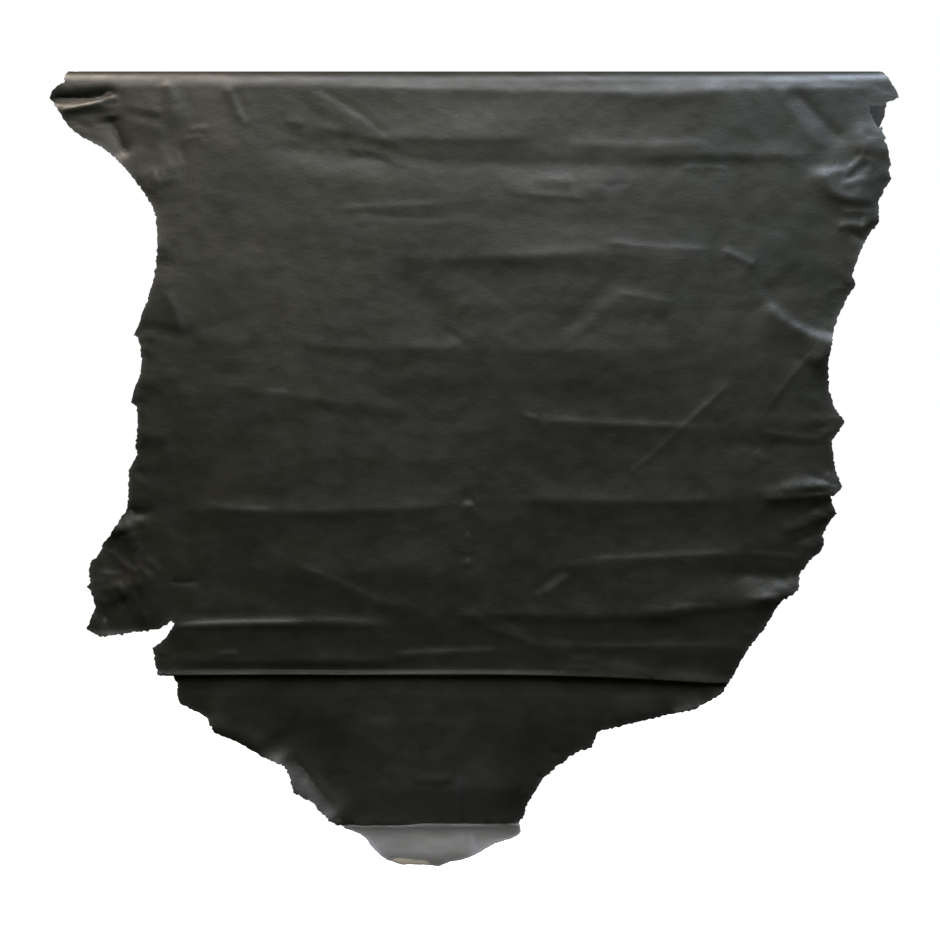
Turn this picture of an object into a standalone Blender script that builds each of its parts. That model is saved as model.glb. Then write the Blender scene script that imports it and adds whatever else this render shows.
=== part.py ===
# A whole cow hide in soft black leather, hung over a rail by its hind end.
# Metres, +Z up. The origin is the top of the rail, half way along it: the inner face of the
# fold's crest. X runs along the rail, and the grain side faces -Y. The hide drops to the floor,
# and its neck end lies forward on it.
# Every place on the hide is given as "across", its X, and "fall", the way along the leather from
# the crest: positive down the front, negative down the back. The tables give "drop", the height
# below the crest, in millimetres.

import math

import bmesh
import bpy
import numpy as np
from mathutils import Vector
from mathutils.geometry import delaunay_2d_cdt

MM = 0.001
FOLD_UNIT = 0.00025     # what a fold's lift is counted in: a quarter of a millimetre

# Driving dimensions
leather_thick = 0.0015
rail_radius = 0.032
floor_drop = 1.816          # rail top to floor
floor_bend = 0.008          # radius where the neck end turns on to the floor
half_width = 0.90           # where the left and right columns of the fold lines are read
column_pitch = 0.074        # mesh spacing along the rail
edge_step = 0.75            # longest edge piece, in mesh steps
edge_clear = 0.42           # nearest inner point to the edge, in mesh steps

# Worked out
sheet_radius = rail_radius + leather_thick / 2
quarter = sheet_radius * math.pi / 2
bend_start = quarter + floor_drop - rail_radius - floor_bend
bend_length = floor_bend * math.pi / 2
floor_start = bend_start + bend_length

# The trimmed edge, once round the hide in four tables. Each row is a corner or a clip's mark:
# across, drop, and how far the edge bows out (or in, negative) on its way to the next row.
# The front, from the crest down the left side
left_edge = (
    # round the top left leg
    (-968, 0, 0),
    (-974, 37, 6),
    (-1010, 71, 0),
    (-968, 134, 6),
    (-886, 187, -12),
    (-756, 347, -6),
    # the flank
    (-756, 494, -4),
    (-807, 643, 0),
    (-797, 646, -13),
    (-804, 768, 0),
    (-814, 802, 0),
    (-801, 811, -4),
    (-804, 909, 0),
    (-799, 928, 0),
    (-821, 967, -3),
    # the lower left leg, with its notch
    (-826, 1060, -3),
    (-883, 1142, -6),
    (-910, 1185, 4),
    (-910, 1235, 0),
    (-919, 1243, 0),
    (-911, 1252, 0),
    (-898, 1293, 0),
    (-919, 1346, 0),
    (-886, 1366, 0),
    (-744, 1346, 0),
    (-721, 1329, 0),
    (-709, 1332, -8),
    (-763, 1392, 0),
    # the lip of the tuck, and the leather that comes out under it
    (-749, 1454, 0),
    (-712, 1459, 0),
    (-701, 1476, 4),
    (-696, 1525, 0),
    # shoulder and neck
    (-631, 1557, 0),
    (-612, 1593, -4),
    (-497, 1651, 0),
    (-442, 1672, -3),
    (-421, 1732, 0),
    (-372, 1756, 3),
    (-322, 1805, 0),
)
# Round the neck end on the floor, with how far forward of the front in place of the drop
neck_edge = (
    (-300, 26, -14),
    (-228, 160, 0),
    (-193, 248, 3),
    (-147, 302, -5),
    (-67, 311, 0),
    (-44, 281, 6),
    (11, 234, 0),
    (58, 146, 6),
    (116, 74, 0),
    (119, 40, 0),
)
# The front again, up the right side to the crest
right_edge = (
    # neck and shoulder
    (119, 1808, 5),
    (134, 1773, 0),
    (175, 1706, -2),
    (264, 1640, 0),
    (292, 1634, 0),
    (308, 1595, 0),
    (394, 1572, 0),
    (535, 1539, 0),
    (602, 1504, 0),
    (635, 1456, -6),
    # the lower right leg
    (703, 1351, 0),
    (746, 1281, 0),
    (788, 1254, 0),
    (794, 1216, -4),
    (840, 1165, 0),
    (851, 1147, 0),
    (851, 1118, -4),
    # the flank, pulled out where clips held it
    (882, 1069, -3),
    (864, 1027, 0),
    (874, 1024, 0),
    (893, 1005, -4),
    (869, 896, 0),
    (900, 849, 0),
    (876, 813, -5),
    (859, 711, -13),
    (926, 520, 0),
    (918, 501, -10),
    # the top right leg, with its notch
    (980, 372, 0),
    (982, 316, 0),
    (1011, 265, 0),
    (1003, 247, 0),
    (1008, 229, 0),
    (987, 141, 0),
    (977, 142, -3),
    (957, 90, 0),
    (985, 91, 0),
    (1029, 71, 3),
    (1014, 40, 0),
    (984, 0, 0),
)
# The hind end behind the rail, from the right round to the left
back_edge = (
    (1022, 48, 4),
    (1004, 125, 18),
    (812, 322, 10),
    (540, 368, -32),
    (-400, 362, 14),
    (-680, 352, 14),
    (-822, 228, 4),
)

# Lines that the rows of the mesh follow, top to bottom: drop at the left, middle and right of
# the sheet, then the rows from there down to the next line. Behind the rail they are level.
back_rows = 8
back_reach = 0.385          # drop of the last line behind the rail
roll_rows = 12
under_roll_rows = 1
fold_lines = (
    # left, middle, right, rows
    (44, 44, 44, 5),
    (92, 92, 92, 4),
    (146, 222, 230, 3),
    (206, 278, 290, 3),
    (292, 350, 362, 4),
    (404, 438, 462, 8),
    (640, 672, 682, 6),
    (770, 820, 863, 7),
    (1050, 1038, 1020, 5),
    (1180, 1184, 1152, 5),
    (1334, 1320, 1282, 2),
    (1348, 1336, 1300, 4),
    (1424, 1426, 1436, 4),
    (1458, 1453, 1492, 4),
    (1466, 1461, 1500, 3),
    (1508, 1510, 1530, 7),
    (1704, 1706, 1710, 3),
    (1772, 1774, 1776, 1),
)
bend_rows = 4
floor_rows = 9
floor_reach = 0.325

# The overhanging tuck, as the leather runs through it: rows from its lip, forward, up
tuck_run = (
    (-5, 0.0, 0.0),
    (-4, 0.0, 0.0),
    (-3, 0.3, 0.0),
    (-2, 0.8, 0.0),
    (-1, 2.0, 0.0),
    (0, 6.5, 0.0),
    (1, 6.0, -1.5),
    (2, -0.5, 3.0),
    (3, -4.5, 3.5),
    (4, -5.5, -3.0),
    (5, -4.6, -1.0),
    (6, -3.6, 0.0),
    (7, -2.4, 0.0),
    (8, -1.4, 0.0),
    (9, -0.6, 0.0),
    (10, 0.0, 0.0),
)
tuck_lip_line = 13          # which fold line the lip follows
# How deep the tuck is along its length: across, share
tuck_share = (
    (-760, 0.75), (-640, 1.0), (-300, 1.0), (100, 0.95), (380, 0.8), (560, 0.55),
    (640, 0.25), (700, 0.0),
)

# Folds and hollows: three places along each as across and drop, its lift towards the grain side in
# quarters of a millimetre (a hollow is negative), how far it spreads above and below, and how
# round its crest is
folds = (
    # x1, d1, x2, d2, x3, d3, lift, above, below, round
    # the top left leg, gathered under the rail
    (-1030, 76, -930, 72, -840, 57, -56, 10, 8, 4),
    (-1000, 108, -912, 88, -835, 70, 30, 9, 10, 5),
    (-985, 112, -900, 112, -850, 124, -12, 10, 14, 8),
    (-862, 112, -850, 158, -818, 216, -34, 9, 28, 4),
    (-735, 34, -722, 75, -705, 150, 6, 14, 16, 10),
    (-850, 96, -770, 104, -670, 92, 15, 42, 22, 10),
    (-590, 40, -560, 85, -530, 150, 5, 14, 14, 10),
    (-780, 300, -748, 262, -700, 225, 7, 22, 22, 12),
    # under the rail
    (-1060, 50, -560, 40, 0, 50, 16, 18, 60, 4),
    (-600, 30, -530, 33, -460, 30, 7, 8, 20, 5),
    (-420, 46, 400, 58, 1060, 44, 16, 18, 60, 4),
    (290, 46, 450, 62, 620, 48, 9, 14, 24, 6),
    (690, 34, 755, 30, 830, 36, 9, 8, 22, 5),
    (-520, 172, -60, 226, 870, 228, -11, 20, 28, 10),
    (360, 212, 600, 208, 860, 214, 13, 24, 8, 5),
    (330, 128, 440, 138, 540, 128, -5, 28, 14, 10),
    (-400, 44, -265, 122, -130, 208, 5, 14, 16, 8),
    (-510, 126, -420, 162, -310, 198, -7, 16, 10, 5),
    (-230, 160, -20, 170, 180, 162, 11, 46, 10, 8),
    (-500, 190, -400, 256, -120, 268, 5, 18, 24, 14),
    (60, 282, 210, 295, 360, 288, 6, 20, 24, 12),
    (-60, 330, 180, 368, 640, 374, -9, 22, 20, 14),
    (-700, 196, -600, 190, -500, 206, 9, 60, 150, 24),
    (-180, 448, 80, 444, 340, 428, 8, 24, 18, 8),
    (200, 176, 420, 182, 600, 176, 6, 14, 16, 8),
    (540, 172, 640, 120, 740, 66, 2, 18, 18, 12),
    # the top right corner
    (722, 36, 783, 122, 856, 208, 10, 15, 14, 8),
    (766, 40, 836, 116, 908, 186, -18, 12, 26, 4),
    (920, 130, 955, 215, 985, 330, 10, 22, 20, 14),
    (826, 232, 866, 304, 985, 318, 26, 50, 14, 5),
    (880, 345, 930, 340, 985, 325, 6, 12, 14, 8),
    (890, 405, 925, 390, 965, 380, 6, 12, 14, 8),
    # upper body
    (0, 462, 300, 450, 640, 456, 10, 28, 30, 12),
    (600, 438, 650, 452, 690, 476, 6, 20, 24, 12),
    (650, 470, 730, 584, 884, 664, 20, 14, 28, 6),
    (690, 460, 765, 566, 880, 632, -14, 34, 12, 8),
    (-140, 470, 180, 492, 480, 478, -8, 26, 34, 18),
    (-770, 480, -715, 560, -690, 640, 9, 28, 30, 16),
    (-700, 424, -600, 430, -480, 426, -4, 34, 14, 10),
    (-680, 630, -600, 656, -520, 662, 5, 14, 18, 8),
    (-430, 470, -300, 545, -240, 650, 6, 56, 56, 28),
    (-200, 460, -80, 580, -20, 660, -9, 44, 44, 22),
    (40, 520, 0, 600, -30, 650, 7, 36, 36, 20),
    (420, 480, 300, 580, 200, 640, -9, 42, 46, 22),
    (330, 562, 420, 568, 510, 590, 6, 24, 18, 10),
    (-290, 664, 160, 688, 580, 684, 10, 36, 14, 6),
    (-300, 736, 100, 744, 520, 742, 10, 64, 28, 14),
    (-430, 654, -260, 670, -70, 672, 12, 66, 20, 12),
    (810, 700, 858, 684, 888, 640, 30, 26, 18, 8),
    # middle
    (-560, 776, -340, 800, -110, 826, 7, 12, 24, 8),
    (-420, 812, -270, 838, -110, 850, -5, 18, 24, 12),
    (110, 844, 340, 858, 640, 868, 9, 16, 26, 8),
    (560, 900, 740, 906, 890, 902, -10, 20, 26, 12),
    (527, 850, 574, 804, 624, 752, 5, 12, 12, 6),
    (670, 836, 756, 752, 846, 668, 5, 14, 14, 6),
    (-740, 1054, -300, 1060, -20, 1040, 18, 26, 28, 6),
    (60, 1030, 380, 1040, 700, 1032, 17, 26, 24, 7),
    (640, 1024, 770, 1010, 888, 1002, 9, 14, 18, 8),
    (690, 1034, 800, 1027, 930, 1014, 40, 26, 15, 4),
    (650, 1278, 770, 1262, 850, 1250, 52, 28, 14, 5),
    (160, 1200, 440, 1184, 720, 1158, 9, 16, 26, 8),
    (610, 1214, 740, 1220, 830, 1212, -20, 34, 16, 8),
    (-580, 1220, -300, 1234, -20, 1232, 30, 90, 36, 14),
    (-40, 1302, 230, 1314, 560, 1306, 16, 56, 12, 8),
    (-445, 1184, -290, 1262, -110, 1296, 6, 14, 18, 8),
    (-50, 1304, 100, 1362, 250, 1412, 6, 12, 16, 6),
    (148, 1280, 192, 1246, 240, 1214, 5, 12, 12, 6),
    # the left flap
    (-835, 1068, -790, 1064, -750, 1074, -16, 10, 12, 8),
    (-855, 1090, -830, 1112, -795, 1122, 16, 10, 14, 8),
    (-895, 1130, -862, 1170, -850, 1250, -24, 24, 26, 14),
    (-835, 1275, -800, 1235, -765, 1205, 16, 16, 16, 8),
    (-895, 1335, -855, 1300, -820, 1280, -16, 18, 20, 10),
    (-905, 1345, -840, 1345, -770, 1335, -24, 110, 16, 10),
    # low body
    (-760, 1342, -440, 1328, -170, 1338, 20, 9, 40, 4),
    (-700, 1290, -600, 1292, -480, 1288, 6, 40, 16, 10),
    (-740, 1420, -420, 1422, -120, 1420, 16, 40, 14, 6),
    (370, 1312, 600, 1296, 790, 1278, 18, 26, 22, 6),
    (420, 1398, 560, 1400, 680, 1388, 7, 12, 18, 8),
    (-190, 1412, -100, 1412, -20, 1404, 5, 12, 14, 6),
    (40, 1428, 330, 1434, 640, 1464, 12, 16, 20, 5),
    (-730, 1438, -400, 1438, -60, 1438, -6, 12, 14, 6),
    # under the tuck
    (-610, 1560, -250, 1572, 250, 1560, 8, 30, 40, 18),
    (-660, 1556, -548, 1612, -436, 1684, 66, 52, 26, 12),
    (-536, 1612, -418, 1730, -303, 1836, 112, 15, 15, 60),
    (-350, 1786, -240, 1790, -90, 1776, 40, 95, 22, 10),
    (-260, 1724, -20, 1726, 130, 1734, 26, 50, 44, 18),
    (-300, 1786, -40, 1794, 130, 1790, -8, 22, 20, 12),
    (480, 1556, 520, 1540, 570, 1528, 32, 14, 12, 6),
    (-22, 1640, -22, 1730, -20, 1812, 4, 9, 9, 5),
)
fold_samples = 14           # pieces that each fold's curve is measured in
fold_ends = 0.2             # share of a fold's length over which each end fades
rail_hold = 0.020           # fall down to which the leather bears on the rail
rail_release = 0.045        # fall over which the folds then come in
floor_settle = 0.030        # floor length over which the last folds go flat
# The flap behind the rail has one long soft wave
back_release = 0.2
back_wave = 0.006
back_waves = 9.0            # radians per metre
back_phase = 0.6

# The whole sheet's slow waves: lift, waves per metre across and down, phase
slow_waves = (
    (3.0, 0.55, 0.35, 0.4),
    (2.2, 1.10, -0.60, 2.1),
    (1.6, -0.80, 1.40, 4.4),
    (1.2, 1.90, 0.90, 1.2),
)


def fall_of_drop(drop):
    # Fall down the front for a height below the crest.
    if drop >= sheet_radius:
        return quarter + drop - sheet_radius
    return sheet_radius * math.acos(1 - drop / sheet_radius)


def outline():
    # The whole trimmed edge as across, fall and bow, one closed loop.
    loop = [(x * MM, fall_of_drop(d * MM), bow * MM) for x, d, bow in left_edge]
    loop += [(x * MM, floor_start + f * MM - floor_bend, bow * MM) for x, f, bow in neck_edge]
    loop += [(x * MM, fall_of_drop(d * MM), bow * MM) for x, d, bow in right_edge]
    loop += [(x * MM, -fall_of_drop(d * MM), bow * MM) for x, d, bow in back_edge]
    return loop


def in_steps(across, fall):
    # A place on the sheet in mesh steps: columns across and rows down.
    return Vector((across / column_pitch, row_of_fall(across, fall)))


def line_falls(across):
    # Row number and fall of every row line at this place across.
    share = max(-1.0, min(1.0, across / half_width))
    falls = [-back_reach - quarter + sheet_radius, -quarter, quarter]
    rows = [0, back_rows, back_rows + roll_rows]
    next_rows = under_roll_rows
    for left, middle, right, count in fold_lines:
        slope = (right - left) / 2
        curve = (right + left) / 2 - middle
        falls.append(fall_of_drop((middle + slope * share + curve * share ** 2) * MM))
        rows.append(rows[-1] + next_rows)
        next_rows = count
    for fall, count in (
        (bend_start, next_rows),
        (floor_start, bend_rows),
        (floor_start + floor_reach, floor_rows),
    ):
        falls.append(fall)
        rows.append(rows[-1] + count)
    return rows, falls


def row_of_fall(across, fall):
    rows, falls = line_falls(across)
    return float(np.interp(fall, falls, rows))


def fall_of_row(across, row):
    rows, falls = line_falls(across)
    return float(np.interp(row, rows, falls))


def lip_row():
    lines_above = 3         # the hind end's reach and the two sides of the rail
    return line_falls(0.0)[0][lines_above + tuck_lip_line]


def fold_lift(across, drop):
    # Sum of every fold's lift at the given places, as arrays in metres.
    lift = np.zeros_like(across)
    for x1, d1, x2, d2, x3, d3, height, above, below, round_crest in folds:
        along = np.linspace(0, 1, fold_samples + 1)
        # the curve that starts, passes half way and ends at the three places
        xs = x1 + (4 * x2 - 3 * x1 - x3) * along + (2 * x1 - 4 * x2 + 2 * x3) * along ** 2
        ds = d1 + (4 * d2 - 3 * d1 - d3) * along + (2 * d1 - 4 * d2 + 2 * d3) * along ** 2
        xs, ds = xs * MM, ds * MM
        best = np.full_like(across, 1e9)
        side = np.zeros_like(across)
        place = np.zeros_like(across)
        for k in range(fold_samples):
            ex, ed = xs[k + 1] - xs[k], ds[k + 1] - ds[k]
            size = ex * ex + ed * ed
            t = ((across - xs[k]) * ex + (drop - ds[k]) * ed) / size
            t = np.clip(t, 0, 1)
            gx = across - xs[k] - t * ex
            gd = drop - ds[k] - t * ed
            gap = np.hypot(gx, gd)
            near = gap < best
            best = np.where(near, gap, best)
            side = np.where(near, gd * abs(ex) - gx * ed * np.sign(ex or 1), side)
            place = np.where(near, (k + t) / fold_samples, place)
        width = np.where(side > 0, below, above) * MM
        bend = round_crest * MM
        shape = np.exp(-(np.sqrt(best ** 2 + bend ** 2) - bend) / width)
        ends = np.clip(np.minimum(place, 1 - place) / fold_ends, 0, 1)
        ends = ends * ends * (3 - 2 * ends)
        lift += height * FOLD_UNIT * shape * ends
    return lift


def slow_lift(across, drop):
    lift = np.zeros_like(across)
    for height, wide, down, phase in slow_waves:
        lift += height * MM * np.sin(2 * math.pi * (wide * across + down * drop) + phase)
    return lift


def hang(across, row):
    # Places in space for points of the sheet: arrays of across and row numbers.
    fall = np.array([fall_of_row(x, r) for x, r in zip(across, row)])
    drop = rail_radius + fall - quarter
    on_front = (fall > quarter) & (fall < floor_start)
    lift = fold_lift(across, drop) + slow_lift(across, drop)
    # no folds where the leather bears on the rail, behind it, or flat on the floor
    free = np.clip((fall - rail_hold) / rail_release, 0, 1)
    floor_share = np.clip((fall - bend_start) / (floor_start + floor_settle - bend_start), 0, 1)
    lift = lift * free * (1 - floor_share)
    behind = np.clip((-fall - quarter) / back_release, 0, 1)
    lift = lift + behind * back_wave * np.sin(back_waves * across + back_phase)
    # the tuck
    tuck_rows = [r for r, _, _ in tuck_run]
    from_lip = row - lip_row()
    share = np.interp(across, [x * MM for x, _ in tuck_share], [s for _, s in tuck_share])
    forward = np.interp(from_lip, tuck_rows, [f * MM for _, f, _ in tuck_run]) * share
    raised = np.interp(from_lip, tuck_rows, [u * MM for _, _, u in tuck_run]) * share
    forward = np.where(on_front, forward, 0.0)
    raised = np.where(on_front, raised, 0.0)
    lift = lift + forward

    places = []
    floor_level = -floor_drop + leather_thick / 2
    for x, f, up, rise in zip(across, fall, lift, raised):
        if f < -quarter:
            ny, nz = 1.0, 0.0
            y = sheet_radius
            z = -rail_radius + f + quarter
        elif f < quarter:
            angle = f / sheet_radius
            ny, nz = -math.sin(angle), math.cos(angle)
            y = sheet_radius * ny
            z = -rail_radius + sheet_radius * nz
        elif f < bend_start:
            ny, nz = -1.0, 0.0
            y = -sheet_radius
            z = -rail_radius - f + quarter
        elif f < floor_start:
            angle = (f - bend_start) / floor_bend
            ny, nz = -math.cos(angle), math.sin(angle)
            y = -sheet_radius - floor_bend - floor_bend * ny
            z = floor_level + floor_bend - floor_bend * nz
        else:
            ny, nz = 0.0, 1.0
            y = -sheet_radius - floor_bend - f + floor_start
            z = floor_level
        places.append(Vector((x, y + ny * up, z + nz * up + rise)))
    return places


def sheet_points():
    # Edge points and inner points, as across in steps of the pitch and row number.
    edge = []
    loop = outline()
    for (x, fall, bow), (next_x, next_fall, _) in zip(loop, loop[1:] + loop[:1]):
        gap = (in_steps(next_x, next_fall) - in_steps(x, fall)).length
        pieces = max(1, math.ceil(gap / edge_step))
        along_x, along_fall = next_x - x, next_fall - fall
        length = math.hypot(along_x, along_fall)
        for piece in range(pieces):
            t = piece / pieces
            out = 4 * t * (1 - t) * bow / length
            edge.append(in_steps(x + t * along_x - out * along_fall,
                                 fall + t * along_fall + out * along_x))
    inner = []
    last_row = line_falls(0.0)[0][-1]
    reach = math.ceil(max(abs(x) for x, _, _ in loop) / column_pitch)
    for row in range(1, last_row):
        shift = 0.5 * (row % 2)     # every other row stands half a step over
        for column in range(-reach, reach):
            spot = Vector((column + shift, float(row)))
            if inside(spot, edge) and clear_of(spot, edge):
                inner.append(spot)
    return edge, inner


def inside(spot, edge):
    crossings = 0
    for a, b in zip(edge, edge[1:] + edge[:1]):
        if (a.y > spot.y) != (b.y > spot.y):
            at = a.x + (spot.y - a.y) * (b.x - a.x) / (b.y - a.y)
            crossings += at > spot.x
    return crossings % 2 == 1


def clear_of(spot, edge):
    return all((spot - a).length > edge_clear for a in edge)


def make_hide():
    edge, inner = sheet_points()
    ring = list(range(len(edge)))
    wanted = 1              # triangles inside the edge only
    spots, _, faces, _, _, _ = delaunay_2d_cdt(edge + inner, [], [ring], wanted, 1e-5)
    across = np.array([s.x * column_pitch for s in spots])
    row = np.array([s.y for s in spots])
    places = hang(across, row)

    sheet = bmesh.new()
    verts = [sheet.verts.new(p) for p in places]
    for face in faces:
        sheet.faces.new([verts[i] for i in face])
    sheet.normal_update()
    # the grain side is the one whose faces look forward on the front
    front = sum(f.normal.y * f.calc_area() for f in sheet.faces if f.calc_center_median().y < 0)
    if front > 0:
        bmesh.ops.reverse_faces(sheet, faces=sheet.faces[:])
    sheet.normal_update()

    solid = bmesh.new()
    half = leather_thick / 2
    grain = [solid.verts.new(v.co + v.normal * half) for v in sheet.verts]
    flesh = [solid.verts.new(v.co - v.normal * half) for v in sheet.verts]
    sheet.verts.index_update()
    for face in sheet.faces:
        ids = [v.index for v in face.verts]
        solid.faces.new([grain[i] for i in ids])
        solid.faces.new([flesh[i] for i in reversed(ids)])
    for rim in sheet.edges:
        if rim.is_boundary:
            face = rim.link_faces[0]
            a, b = rim.verts
            order = [v.index for v in face.verts]
            if order[(order.index(a.index) + 1) % len(order)] != b.index:
                a, b = b, a
            solid.faces.new([grain[b.index], grain[a.index], flesh[a.index], flesh[b.index]])
    bmesh.ops.triangulate(solid, faces=[f for f in solid.faces if len(f.verts) > 3])
    mesh = bpy.data.meshes.new("hide")
    solid.to_mesh(mesh)
    solid.free()
    sheet.free()
    mesh.shade_smooth()
    mesh.set_sharp_from_angle(angle=math.radians(50))
    hide = bpy.data.objects.new("hide", mesh)
    bpy.context.scene.collection.objects.link(hide)
    return hide


def black_leather():
    material = bpy.data.materials.new("black_leather")
    material.use_nodes = True
    shader = material.node_tree.nodes["Principled BSDF"]
    shader.inputs["Base Color"].default_value = (0.022, 0.022, 0.020, 1)
    shader.inputs["Roughness"].default_value = 0.48
    shader.inputs["Metallic"].default_value = 0.0
    return material


def main():
    for old in list(bpy.data.objects):
        bpy.data.objects.remove(old)
    hide = make_hide()
    hide.data.materials.append(black_leather())
    print("hide:", len(hide.data.polygons), "triangles")


main()
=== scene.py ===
# The looks of a whole cow hide in soft black leather, hung over a rail by its hind end.
# Metres, +Z up, in the frame's own axes: the origin is the top of the rail, X runs along it, and
# the grain side faces -Y. A place on the hide is "across", its X, and "fall", the way along the
# leather from the crest: positive down the front, negative behind. The tables give "drop", the
# height below the crest, in millimetres.
import math

import bpy
import numpy as np
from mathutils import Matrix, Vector, kdtree, noise
from mathutils.geometry import delaunay_2d_cdt


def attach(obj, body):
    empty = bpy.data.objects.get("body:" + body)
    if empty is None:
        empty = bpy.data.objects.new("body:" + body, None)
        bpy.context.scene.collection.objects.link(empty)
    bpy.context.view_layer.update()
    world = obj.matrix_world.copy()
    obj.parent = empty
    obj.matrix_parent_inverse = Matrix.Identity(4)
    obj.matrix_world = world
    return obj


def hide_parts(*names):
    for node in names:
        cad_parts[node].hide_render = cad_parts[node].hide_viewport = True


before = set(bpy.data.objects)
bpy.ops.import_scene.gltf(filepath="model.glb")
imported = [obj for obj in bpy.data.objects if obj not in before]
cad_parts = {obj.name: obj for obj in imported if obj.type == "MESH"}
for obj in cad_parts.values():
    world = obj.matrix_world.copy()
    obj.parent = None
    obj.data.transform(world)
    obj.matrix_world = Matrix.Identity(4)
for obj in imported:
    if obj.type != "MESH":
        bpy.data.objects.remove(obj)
scene = bpy.context.scene
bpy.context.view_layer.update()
bpy.ops.object.select_all(action="DESELECT")
print("frame loaded")

mm = 0.001

cameraSetup = {"away": 3.0, "height": -0.964, "seenWidth": 2.256, "sensor": 36}  # at the hide's front

hide = {
    "thick": 0.0015,
    "railRadius": 0.032,
    "floorDrop": 1.816,  # rail top to floor
    "floorBend": 0.004,  # radius where the neck end turns on to the floor
    "halfWidth": 0.90,  # where the sides of the fold lines are read
    "step": 0.006,  # mesh step down the front
    "columns": 1.75,  # mesh columns, in steps
    "flesh": (4.0, 3.0),  # and the flesh side's columns and rows, in steps
    "edgeStep": 0.0052,  # between points of the trimmed edge
    "edgeRings": (0.004, 0.010),  # inner rings of points that follow the edge
    "creaseStep": 0.0065,  # between points along a crease
    "creaseSides": (-1.8, -0.8, 0.0, 0.8, 1.8),  # points beside a crease, in its own widths
    "clear": 0.44,  # nearest that two points may lie, in steps
    "gridClear": 0.72,  # and the same for the even grid
    "creaseTop": 0.034,  # no crease's points lie higher than this drop
    "gridReach": 1.1,  # how far the grid runs to each side
    "weld": 1e-5,  # points nearer than this are one, in steps
    "ragged": 0.0012,  # how far knife and clips left the edge uneven
    "sharpFrom": math.radians(65),  # the cut edge stays crisp
    "backReach": 0.385,  # how far the rows go down behind the rail
    "floorReach": 0.325,  # and forward on the floor
    "flatSize": (2.04, 2.52),  # the skin laid out, legs and neck included
    "flatArea": 3.65,
}
sheetRadius = hide["railRadius"] + hide["thick"] / 2
# falls where the leather leaves the rail, starts to bend to the floor, and lies on it
quarter = sheetRadius * math.pi / 2
bendStart = quarter + hide["floorDrop"] - hide["railRadius"] - hide["floorBend"]
floorStart = bendStart + hide["floorBend"] * math.pi / 2
edgeSeed = 11  # draws how uneven the edge is
tiny = 1e-9  # gives a crease that runs straight down a side all the same

# The trimmed edge, once round the hide in four tables. Each row is a corner or a clip's mark:
# across, drop, and how far the edge bows out (or in, negative) on its way to the next row.
# The front, from the crest down the left side
leftEdge = (
    # round the top left leg
    (-968, 0, 0), (-974, 37, 6), (-1010, 71, 0), (-968, 134, 6), (-886, 187, -12), (-756, 347, -6),
    # the flank
    (-756, 494, -4), (-807, 643, 0), (-797, 646, -13), (-804, 768, 0), (-814, 802, 0), (-801, 811, -4),
    (-804, 909, 0), (-799, 928, 0), (-821, 967, -3),
    # the lower left leg, with its notch
    (-826, 1060, -3), (-883, 1142, -6), (-910, 1185, 4), (-910, 1235, 0), (-919, 1243, 0),
    (-911, 1252, 0), (-898, 1293, 0), (-919, 1346, 0), (-886, 1366, 0), (-744, 1346, 0), (-721, 1329, 0),
    (-709, 1332, -8), (-763, 1392, 0),
    # the lip of the tuck, and the leather that comes out under it
    (-749, 1454, 0), (-712, 1459, 0), (-701, 1476, 4), (-696, 1525, 0),
    # shoulder and neck
    (-631, 1557, 0), (-612, 1593, -4), (-497, 1651, 0), (-442, 1672, -3), (-421, 1732, 0),
    (-372, 1756, 3), (-322, 1805, 0),
)
# Round the neck end on the floor, with how far forward of the front in place of the drop
neckEdge = (
    (-300, 26, -14), (-228, 160, 0), (-193, 248, 3), (-147, 302, -5), (-67, 311, 0),
    (-44, 281, 6), (11, 234, 0), (58, 146, 6), (116, 74, 0), (119, 40, 0),
)
# The front again, up the right side to the crest
rightEdge = (
    # neck and shoulder
    (119, 1808, 5), (134, 1773, 0), (175, 1706, -2), (264, 1640, 0), (292, 1634, 0), (308, 1595, 0),
    (394, 1572, 0), (535, 1539, 0), (602, 1504, 0), (635, 1456, -6),
    # the lower right leg
    (703, 1351, 0), (746, 1281, 0), (788, 1254, 0), (794, 1216, -4), (840, 1165, 0), (851, 1147, 0),
    (851, 1118, -4),
    # the flank, pulled out where clips held it
    (882, 1069, -3), (864, 1027, 0), (874, 1024, 0), (893, 1005, -4), (869, 896, 0), (900, 849, 0),
    (876, 813, -5), (859, 711, -13), (926, 520, 0), (918, 501, -10),
    # the top right leg, with its notch
    (980, 372, 0), (982, 316, 0), (1011, 265, 0), (1003, 247, 0), (1008, 229, 0), (987, 141, 0),
    (977, 142, -3), (957, 90, 0), (985, 91, 0), (1029, 71, 3), (1014, 40, 0), (984, 0, 0),
)
# The hind end behind the rail, from the right round to the left
backEdge = (
    (1022, 48, 4), (1004, 125, 18), (812, 322, 10), (540, 368, -32),
    (-400, 362, 14), (-680, 352, 14), (-822, 228, 4),
)

# Lines that the rows of the mesh follow, top to bottom: drop at the left, middle and right of
# the sheet, then the rows from there down to the next line. Behind the rail they are level.
backRows = 8
rollRows = 12
underRollRows = 1
foldLines = (
    # left, middle, right, rows
    (44, 44, 44, 5), (92, 92, 92, 4), (146, 222, 230, 3),
    (206, 278, 290, 3), (292, 350, 362, 4), (404, 438, 462, 8),
    (640, 672, 682, 6), (770, 820, 863, 7), (1050, 1038, 1020, 5),
    (1180, 1184, 1152, 5), (1334, 1320, 1282, 2), (1348, 1336, 1300, 4),
    (1424, 1426, 1436, 4), (1458, 1453, 1492, 4), (1466, 1461, 1500, 3),
    (1508, 1510, 1530, 7), (1704, 1706, 1710, 3), (1772, 1774, 1776, 1),
)
bendRows = 4
floorRows = 9
backSteps = 3  # mesh steps to a row behind the rail
tightSteps = 2  # and where rows lie close together

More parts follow.
